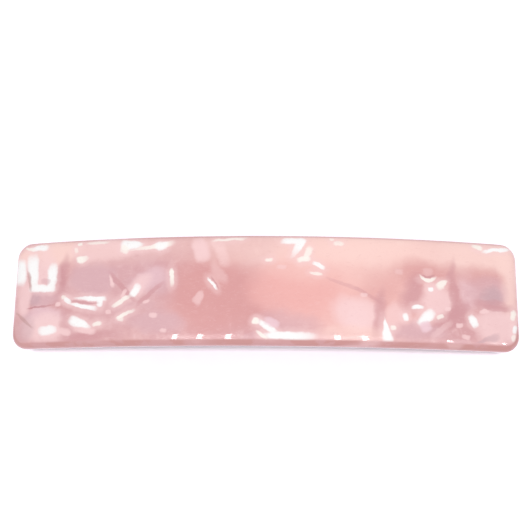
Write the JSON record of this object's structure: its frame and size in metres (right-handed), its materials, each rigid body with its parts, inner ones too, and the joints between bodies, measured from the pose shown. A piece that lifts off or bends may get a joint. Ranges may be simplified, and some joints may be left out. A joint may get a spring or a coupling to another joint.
{
  "type": "hair barrette",
  "caption": "Long rectangular arched hair barrette: a polished acetate plate on a hinged steel French clip with a sprung catch.",
  "frame": {"origin": "on the surface that the clip rests on, under the middle of the plate", "axes": "+X along the barrette from the hinge end to the catch end, +Y across it, +Z out of the show face"},
  "size_m": [0.0996, 0.0216, 0.0173],
  "materials": {
    "acetate": "polished pink pearl marble",
    "plated_steel": "nickel plated, fine brushed",
    "spring_steel": "nickel plated spring strip",
    "rivet_metal": "bright nickel"
  },
  "bodies": {
    "front_plate": {"acetate_plate": "acetate", "clip_base": "plated_steel", "rivet_hinge_end": "rivet_metal", "rivet_catch_end": "rivet_metal", "hinge_pin": "rivet_metal", "catch_floor": "spring_steel", "catch_rivet": "rivet_metal"},
    "clasp_arm": {"clasp_arm": "plated_steel"},
    "tension_bar": {"tension_bar": "spring_steel"},
    "catch_wing_front": {"catch_wing_front": "spring_steel"},
    "catch_wing_rear": {"catch_wing_rear": "spring_steel"}
  },
  "joints": [
    {"name": "arm_hinge", "type": "hinge", "parent": "front_plate", "child": "clasp_arm", "pos_m": [-0.0297, 0, 0.00424], "axis": [0, 1, 0], "range_deg": [0, 90]},
    {"name": "bar_tilt", "type": "hinge", "parent": "front_plate", "child": "tension_bar", "pos_m": [-0.0306, 0, 0.00957], "axis": [0, 1, 0], "range_deg": [0, 10.8]},
    {"name": "wing_front_squeeze", "type": "hinge", "parent": "front_plate", "child": "catch_wing_front", "pos_m": [0.03043, -0.00235, 0.01031], "axis": [0.9857, 0, -0.1685], "range_deg": [0, 6], "stiffness_Nm_per_rad": 0.4},
    {"name": "wing_rear_squeeze", "type": "hinge", "parent": "front_plate", "child": "catch_wing_rear", "pos_m": [0.03043, 0.00235, 0.01031], "axis": [-0.9857, 0, 0.1685], "range_deg": [0, 6], "stiffness_Nm_per_rad": 0.4}
  ],
  "couplings": [
    {"joint": "bar_tilt", "follows": "arm_hinge", "ratio": 0.12}
  ]
}
